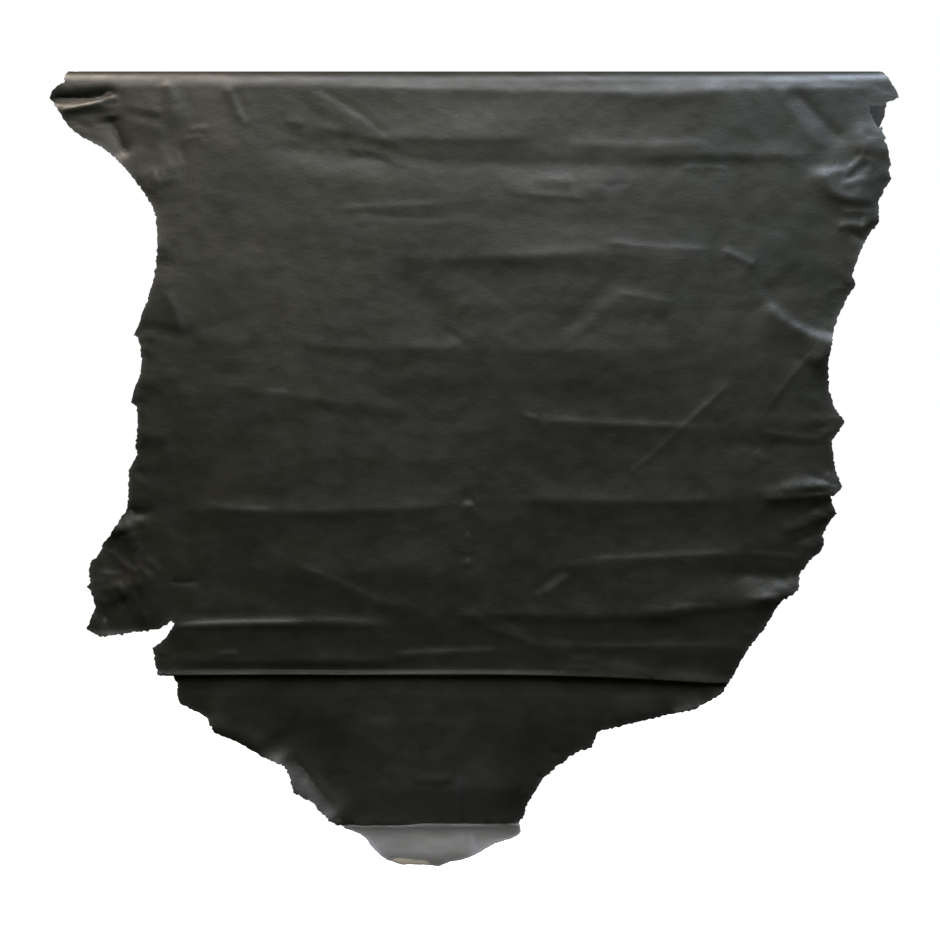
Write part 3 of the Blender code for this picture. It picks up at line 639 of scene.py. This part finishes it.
def gridPoints(columns, lines, last):
    # Points in staggered lines over more than the sheet's width.
    reach = math.ceil(hide["gridReach"] / (hide["step"] * columns))
    return np.array([
        ((column + 0.5 * (k % 2)) * columns, level)
        for k, level in enumerate(np.arange(1.0, last, lines))
        for column in range(-reach, reach)
    ])


def creasePoints(rows, levels):
    # Points along each crease and beside it.
    points = []
    for row in list(creases) + clipCreases():
        xs, ds = foldCurve(*row[:6], count=curveMeasure)
        length = np.hypot(np.diff(xs), np.diff(ds)).sum()
        xs, ds = foldCurve(*row[:6], count=max(2, round(length / hide["creaseStep"])))
        along = np.column_stack((np.gradient(xs), np.gradient(ds)))
        along /= np.linalg.norm(along, axis=1)[:, None]
        for side in hide["creaseSides"]:
            gap = side * mm * (row[7] if side < 0 else row[8])
            turned = gap * np.sign(along[:, 0] + tiny)
            drop = np.maximum(ds + turned * along[:, 0], hide["creaseTop"])
            fall = drop + quarter - hide["railRadius"]
            points.append(toSteps(xs - turned * along[:, 1], fall, rows, levels))
    return np.concatenate(points)


def layer(edge, inner, rows, levels):
    # One layer's triangles in the edge, as places across, rows and faces, the edge's points first.
    spots = [Vector(spot) for spot in edge] + [Vector(spot) for spot in inner]
    onlyInside = 1
    spots, _, faces, _, _, _ = delaunay_2d_cdt(
        spots, [], [list(range(len(edge)))], onlyInside, hide["weld"])
    used, faces = np.unique(np.array(faces), return_inverse=True)
    steps = np.array([tuple(spots[k]) for k in used])
    across = steps[:, 0] * hide["step"]
    return across, np.interp(steps[:, 1], levels, rows), faces.reshape(-1, 3)


def vertexNormals(places, faces):
    corners = places[faces]
    faceNormals = np.cross(corners[:, 1] - corners[:, 0], corners[:, 2] - corners[:, 0])
    normals = np.zeros_like(places)
    for k in range(3):
        np.add.at(normals, faces[:, k], faceNormals)
    return normals / np.linalg.norm(normals, axis=1)[:, None]


def edgePairs(faces):
    # The sides that only one triangle has, in the order that it runs along them.
    sides = np.concatenate((faces, faces[:, [1, 2, 0]], faces[:, [2, 0, 1]]))[:, :2]
    seen = set(map(tuple, sides.tolist()))
    return [(a, b) for a, b in seen if (b, a) not in seen]


def makeHide():
    rows, levels = meshRows()
    edge = edgePoints()
    fixed = toSteps(*edge.T, rows, levels)
    rings = [toSteps(*ringPoints(edge, inward).T, rows, levels) for inward in hide["edgeRings"]]
    fine = thinned(fixed, np.concatenate(rings + [creasePoints(rows, levels)]), hide["clear"])
    last = levels[-1]
    fine += thinned(list(fixed) + fine, gridPoints(hide["columns"], 1, last), hide["gridClear"])
    coarse = thinned(fixed, gridPoints(*hide["flesh"], last), hide["gridClear"])

    # how far each point lies from the trimmed edge, and how far the edge turns out there
    tree = kdtree.KDTree(len(edge))
    for k, (x, f) in enumerate(edge):
        tree.insert((x, f, 0), k)
    tree.balance()
    around = np.cumsum(np.linalg.norm(edge - np.roll(edge, 1, axis=0), axis=1))
    turns = np.array([noise.noise(Vector((a * edgeWave["cells"], edgeWave["row"], 0))) for a in around])

    # the two layers, half the leather's thickness to each side of the sheet's middle
    half = hide["thick"] / 2
    verts, faces, kinds, spread = [], [], [], []
    for side, inner in ((1, fine), (-1, coarse)):
        across, row, flat = layer(fixed, inner, rows, levels)
        fall = fallOfRow(across, row)
        found = [tree.find((x, f, 0)) for x, f in zip(across, fall)]
        edgeGap = np.array([gap for _, _, gap in found])
        edgeTurn = edgeWave["lift"] * mm * turns[[k for _, k, _ in found]]
        places = hang(across, row, edgeGap, edgeTurn)
        normals = vertexNormals(places, flat)
        front = (fall > quarter) & (fall < bendStart)
        if normals[front, 1].mean() > 0:
            flat = flat[:, ::-1]
            normals = -normals
        if side > 0:
            rim = edgePairs(flat)
        else:
            flat = flat[:, ::-1]
        start = len(verts)
        verts.extend((places + side * half * normals).tolist())
        faces.extend((flat + start).tolist())
        kinds.extend([0 if side > 0 else 1] * len(flat))
        spread.append((across, fall, edgeGap))
    # a wall round the edge joins them
    count = len(edge)
    walls = [(b, a, a + start, b + start) for a, b in rim if a < count and b < count]
    mesh = bpy.data.meshes.new("hideSheet")
    mesh.from_pydata(verts, [], faces + walls)
    mesh.polygons.foreach_set("material_index", kinds + [2] * len(walls))
    mesh.shade_smooth()
    mesh.set_sharp_from_angle(angle=hide["sharpFrom"])

    # the place on the laid-out skin, and what the finish depends on
    across, fall, edgeGap = (np.concatenate(part) for part in zip(*spread))
    laidFlat = mesh.uv_layers.new(name="laidFlat")
    corner = np.zeros(len(mesh.loops), np.int32)
    mesh.loops.foreach_get("vertex_index", corner)
    laidFlat.data.foreach_set("uv", np.column_stack((across, -fall))[corner].ravel())
    drop = hide["railRadius"] + fall - quarter
    lines = [row for row in creases if max(row[7:9]) <= lineWidth]
    crest = foldLift(across, drop, lines, 1.0, True)
    raw = rawShare(across, drop)
    for name, values in (("edgeGap", edgeGap), ("crest", crest), ("raw", raw)):
        attribute = mesh.attributes.new(name, "FLOAT", "POINT")
        attribute.data.foreach_set("value", values.astype(np.float32))

    print("hide sheet:", len(verts), "places,", len(faces) + 2 * len(walls), "triangles")
    return addObject("hideSheet", mesh)


def addObject(name, data, location=(0, 0, 0), turn=(0, 0, 0)):
    made = bpy.data.objects.new(name, data)
    made.location, made.rotation_euler = location, turn
    scene.collection.objects.link(made)
    return made


# Noises are given as scale, detail and roughness, and ranges as where they start and end, then what
# they become. The scale is to a pebble in skinPattern, and to a metre of the skin elsewhere.
skinPattern = {
    "sway": (0.45, 2.0), "pull": 0.7, "smooth": 0.6, "domeTop": 0.75,
    "pores": (2.6, 2.0), "poreDepth": 0.35,
    "patches": (0.022, 3.0), "boldness": (0.35, 0.65, 0.45, 1.0),
}
wearPattern = {"patches": (38.0, 4.0), "widest": 2.0}
grainFinish = {
    "black": (0.0152, 0.0162, 0.0110, 1),
    "warmBlack": (0.0200, 0.0192, 0.0132, 1),
    "dye": (5.5, 5.0, 0.6),
    "dyeRange": (0.38, 0.66),
    "worn": (0.055, 0.055, 0.052, 1),
    "wornEdge": 0.55,
    "wornCrest": 0.05,
    "wearWidth": 0.012,
    "paintedCreaseShade": (0.0050, 0.0050, 0.0040, 1),  # painted shade that darkens the hollows of the creases
    "creaseShadeShare": 0.13,
    "raw": (0.058, 0.050, 0.027, 1),  # the tan core where an edge is frayed
    "fray": (90.0, 4.0),
    "frayShare": 1.2,
    "frayRange": (1.0, 1.25),
    "shine": (16.0, 6.0),
    "roughness": (0.3, 0.7, 0.40, 0.54),
    "dulled": 0.35,
    "pebble": 0.0016,
    "pebbleDepth": 0.00014,
    # cells to the metre across and down the skin, detail and depth
    "crumples": ((15.0, 17.0, 1.0, 0.0021), (38.0, 48.0, 2.0, 0.0005), (110.0, 140.0, 2.0, 0.00026)),
    "crumpleRoughness": 0.55,
}
fleshFinish = {
    "dark": (0.030, 0.026, 0.022, 1), "light": (0.075, 0.066, 0.056, 1), "contrast": 2.0,
    "nap": (240.0, 5.0), "cloud": (9.0, 4.0), "napDepth": 0.0005, "napStrength": 0.7, "roughness": 0.92,
}
cutFinish = {
    "dark": (0.045, 0.038, 0.030, 1), "tan": (0.30, 0.22, 0.14, 1), "fibre": (14.0, 6.0),
    "tanRange": (0.5, 0.72), "roughness": 0.85,
}


def newGroup(name, inputs, output):
    # A group with a vector input for each None and a number for the others, and one number out.
    group = bpy.data.node_groups.new(name, "ShaderNodeTree")
    for label, value in inputs.items():
        kind = "NodeSocketVector" if value is None else "NodeSocketFloat"
        socket = group.interface.new_socket(label, in_out="INPUT", socket_type=kind)
        if value is not None:
            socket.default_value = value
    group.interface.new_socket(output, in_out="OUTPUT", socket_type="NodeSocketFloat")
    return group, group.nodes.new("NodeGroupInput").outputs, group.nodes.new("NodeGroupOutput")


def setInputs(tree, node, inputs):
    # Inputs set to values or linked to sockets.
    for name, value in inputs.items():
        if isinstance(value, bpy.types.NodeSocket):
            tree.links.new(value, node.inputs[name])
        else:
            node.inputs[name].default_value = value


def addNode(tree, kind, inputs, **settings):
    # The outputs of a new node with these settings and inputs.
    node = tree.nodes.new("ShaderNode" + kind)
    for name, value in settings.items():
        setattr(node, name, value)
    setInputs(tree, node, inputs)
    return node.outputs


def mathNode(tree, first, second, operation="MULTIPLY", clamp=False):
    return addNode(tree, "Math", {0: first, 1: second}, operation=operation, use_clamp=clamp)[0]


def vectorNode(tree, operation, first, second):
    socket = "Scale" if operation == "SCALE" else 1
    return addNode(tree, "VectorMath", {0: first, socket: second}, operation=operation)[0]


def noiseNode(tree, place, scale, detail, roughness=0.5, give="Fac"):
    return addNode(tree, "TexNoise", {
        "Vector": place, "Scale": scale, "Detail": detail, "Roughness": roughness})[give]


def rangeNode(tree, value, *ends):
    return addNode(tree, "MapRange", {0: value, **dict(enumerate(ends, 1))})[0]


def mixColour(tree, factor, first, second):
    return addNode(tree, "Mix", {0: factor, 6: first, 7: second}, data_type="RGBA")[2]


def bumpNode(tree, height, depth, normal=None, strength=1.0):
    below = {"Normal": normal} if normal else {}
    return addNode(tree, "Bump", {
        "Height": height, "Distance": depth, "Strength": strength, **below})[0]


def attributeNode(tree, name):
    return addNode(tree, "Attribute", {}, attribute_name=name)["Fac"]


def skinGrainGroup():
    # Pebbles of the skin with pores between, in metres on the laid-out skin.
    look = skinPattern
    group, given, put = newGroup("skinGrain", {"Place": None, "Pebble": 0.0, "Depth": 0.0}, "Height")
    size = mathNode(group, 1.0, given["Pebble"], "DIVIDE")
    place = vectorNode(group, "SCALE", given["Place"], size)
    sway = vectorNode(group, "SCALE", noiseNode(group, place, *look["sway"], give="Color"), look["pull"])
    cells = addNode(group, "TexVoronoi", {
        "Vector": vectorNode(group, "ADD", place, sway), "Scale": 1.0,
        "Smoothness": look["smooth"], "Randomness": 1.0}, feature="SMOOTH_F1")
    dome = mathNode(group, look["domeTop"], cells["Distance"], "SUBTRACT")
    pores = noiseNode(group, place, *look["pores"])
    rough = mathNode(group, pores, look["poreDepth"])
    bold = rangeNode(group, noiseNode(group, place, *look["patches"]), *look["boldness"])
    height = mathNode(group, mathNode(group, dome, rough, "ADD"), bold)
    setInputs(group, put, {"Height": mathNode(group, height, given["Depth"])})
    return group


def edgeWearGroup():
    # One at the trimmed edge and nothing further in, with a broken border.
    group, given, put = newGroup("edgeWear", {"Place": None, "Gap": 0.0, "Width": 0.0}, "Mask")
    patchy = noiseNode(group, given["Place"], *wearPattern["patches"])
    patchy = mathNode(group, patchy, wearPattern["widest"])
    width = mathNode(group, given["Width"], patchy)
    share = mathNode(group, given["Gap"], width, "DIVIDE")
    setInputs(group, put, {"Mask": mathNode(group, 1.0, share, "SUBTRACT", clamp=True)})
    return group


def newMaterial(name):
    material = bpy.data.materials.new(name)
    material.use_nodes = True
    tree = material.node_tree
    return material, tree, tree.nodes["Principled BSDF"]


def newLeather(name):
    material, tree, shader = newMaterial(name)
    return material, tree, shader, addNode(tree, "UVMap", {}, uv_map="laidFlat")[0]


def grainSide():
    look = grainFinish
    material, tree, shader, place = newLeather("grainSide")
    gap, crest, raw = (attributeNode(tree, name) for name in ("edgeGap", "crest", "raw"))
    grain = addNode(tree, "Group", {
        "Place": place, "Pebble": look["pebble"], "Depth": look["pebbleDepth"],
    }, node_tree=skinGrainGroup())
    wear = addNode(tree, "Group", {
        "Place": place, "Gap": gap, "Width": look["wearWidth"]}, node_tree=edgeWearGroup())

    # dye takes a little unevenly and wears off at the edge and along crests; the hollows of narrow
    # creases get painted shade
    dye = rangeNode(tree, noiseNode(tree, place, *look["dye"]), *look["dyeRange"])
    colour = mixColour(tree, dye, look["black"], look["warmBlack"])
    rubbed = mathNode(tree, crest, look["wornCrest"], clamp=True)
    worn = mathNode(tree, wear["Mask"], look["wornEdge"])
    colour = mixColour(tree, mathNode(tree, worn, rubbed, "MAXIMUM"), colour, look["worn"])
    # painted shade: the hollows of narrow creases are mixed towards near-black, as if shade falls there
    hollow = mathNode(tree, crest, -look["creaseShadeShare"], clamp=True)
    colour = mixColour(tree, hollow, colour, look["paintedCreaseShade"])
    fray = mathNode(tree, noiseNode(tree, place, *look["fray"]), look["frayShare"])
    bare = rangeNode(tree, mathNode(tree, raw, fray, "ADD"), *look["frayRange"])
    colour = mixColour(tree, bare, colour, look["raw"])

    shine = rangeNode(tree, noiseNode(tree, place, *look["shine"]), *look["roughness"])
    dull = mathNode(tree, mathNode(tree, hollow, bare, "MAXIMUM"), look["dulled"])

    # cockles, crumples and fine wrinkles, a little drawn out across the skin, then its grain
    normal = None
    for across, down, detail, depth in look["crumples"]:
        drawn = vectorNode(tree, "MULTIPLY", place, (across, down, 1.0))
        height = noiseNode(tree, drawn, 1.0, detail, look["crumpleRoughness"])
        normal = bumpNode(tree, height, depth, normal)
    setInputs(tree, shader, {
        "Base Color": colour,
        "Roughness": mathNode(tree, shine, dull, "ADD", clamp=True),
        "Normal": bumpNode(tree, grain["Height"], 1.0, normal),
    })
    return material


def fleshSide():
    look = fleshFinish
    material, tree, shader, place = newLeather("fleshSide")
    nap = noiseNode(tree, place, *look["nap"])
    both = mathNode(tree, nap, noiseNode(tree, place, *look["cloud"]))
    share = mathNode(tree, both, look["contrast"], clamp=True)
    setInputs(tree, shader, {
        "Base Color": mixColour(tree, share, look["dark"], look["light"]),
        "Roughness": look["roughness"],
        "Normal": bumpNode(tree, nap, look["napDepth"], strength=look["napStrength"]),
    })
    return material


def cutEdge():
    look = cutFinish
    material, tree, shader, place = newLeather("cutEdge")
    share = rangeNode(tree, noiseNode(tree, place, *look["fibre"]), *look["tanRange"])
    setInputs(tree, shader, {
        "Base Color": mixColour(tree, share, look["dark"], look["tan"]), "Roughness": look["roughness"]})
    return material


# The shadows fade out into an even white away from the hide: glow from near to far
floorFinish = {"size": 30, "below": 0.0006, "shade": (0.35, 0.35, 0.35, 1), "roughness": 0.9,
               "glow": (1.9, 3.2, 0.95, 1.0)}


def makeFloor():
    level = -hide["floorDrop"] - floorFinish["below"]
    bpy.ops.mesh.primitive_plane_add(size=floorFinish["size"], location=(0, 0, level))
    floor = bpy.context.object
    floor.name = "floor"
    bpy.ops.object.transform_apply(location=True)
    material, tree, shader = newMaterial("paleFloor")
    place = addNode(tree, "TexCoord", {})["Object"]
    away = addNode(tree, "VectorMath", {0: place}, operation="LENGTH")["Value"]
    setInputs(tree, shader, {
        "Base Color": floorFinish["shade"],
        "Roughness": floorFinish["roughness"],
        "Specular IOR Level": 0.0,
        "Emission Color": (1, 1, 1, 1),
        "Emission Strength": rangeNode(tree, away, *floorFinish["glow"]),
    })
    floor.data.materials.append(material)
    # its glow neither lights the hide nor shows in its sheen
    floor.visible_diffuse = False
    floor.visible_glossy = False
    bpy.ops.object.select_all(action="DESELECT")


roomLight = {"Color": (0.9, 0.95, 1.0, 1), "Strength": 0.01}
lamps = (
    # name, place, aim, width, height, beam spread in degrees, watts, colour
    ("overhead", (0.0, -1.9, 2.0), (0.0, -0.2, -0.3), 3.0, 1.0, 180, 101, (0.94, 0.945, 1.0)),
    ("frontHigh", (0.0, -3.4, 1.3), (0.0, 0.0, -0.3), 3.4, 1.0, 180, 21, (0.96, 1.0, 0.77)),
    ("leftWarm", (-1.6, -0.75, 1.5), (-0.9, -0.05, -0.1), 0.8, 0.8, 140, 31, (1.0, 0.84, 0.70)),
    ("rightCool", (1.6, -0.85, 1.5), (0.9, -0.05, -0.1), 0.8, 0.8, 140, 38, (0.70, 0.82, 1.0)),
    ("floorStrip", (0.0, -0.21, 2.4), (0.0, -0.20, -1.8), 1.4, 0.16, 4.5, 6.5, (0.80, 0.81, 1.0)),
    ("behindLow", (0.0, 2.6, -0.6), (0.0, 0.0, -0.8), 2.4, 0.9, 150, 60, (0.92, 0.96, 1.0)),
)


def makeLights():
    for name, place, aim, width, height, beam, watts, colour in lamps:
        lamp = bpy.data.lights.new(name, "AREA")
        lamp.shape = "RECTANGLE"
        lamp.size, lamp.size_y = width, height
        lamp.spread = math.radians(beam)
        lamp.energy = watts
        lamp.color = colour
        facing = Vector(aim) - Vector(place)
        addObject(name, lamp, place, facing.to_track_quat("-Z", "Y").to_euler())
    # the room is white to look at, and lights the hide only a little
    world = bpy.data.worlds.new("paleRoom")
    world.use_nodes = True
    tree = world.node_tree
    light = tree.nodes["Background"]
    setInputs(tree, light, roomLight)
    wall = addNode(tree, "Background", {"Color": (1, 1, 1, 1), "Strength": 1.0})[0]
    seen = addNode(tree, "LightPath", {})["Is Camera Ray"]
    both = addNode(tree, "MixShader", {0: seen, 1: light.outputs[0], 2: wall})[0]
    tree.links.new(both, tree.nodes["World Output"].inputs["Surface"])
    scene.world = world
    scene.view_settings.view_transform = "Standard"


def makeCamera():
    camera = bpy.data.cameras.new("camera")
    camera.sensor_width = cameraSetup["sensor"]
    camera.lens = cameraSetup["sensor"] * cameraSetup["away"] / cameraSetup["seenWidth"]
    location = (0, -cameraSetup["away"] - sheetRadius, cameraSetup["height"])
    scene.camera = addObject("camera", camera, location, (math.radians(90), 0, 0))


sheet = makeHide()
# in the order of the mesh's material numbers
for material in (grainSide(), fleshSide(), cutEdge()):
    sheet.data.materials.append(material)
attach(sheet, "root")
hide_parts("hide")
print("finishes on")

makeFloor()
makeLights()
makeCamera()
print("floor, lights and camera set")
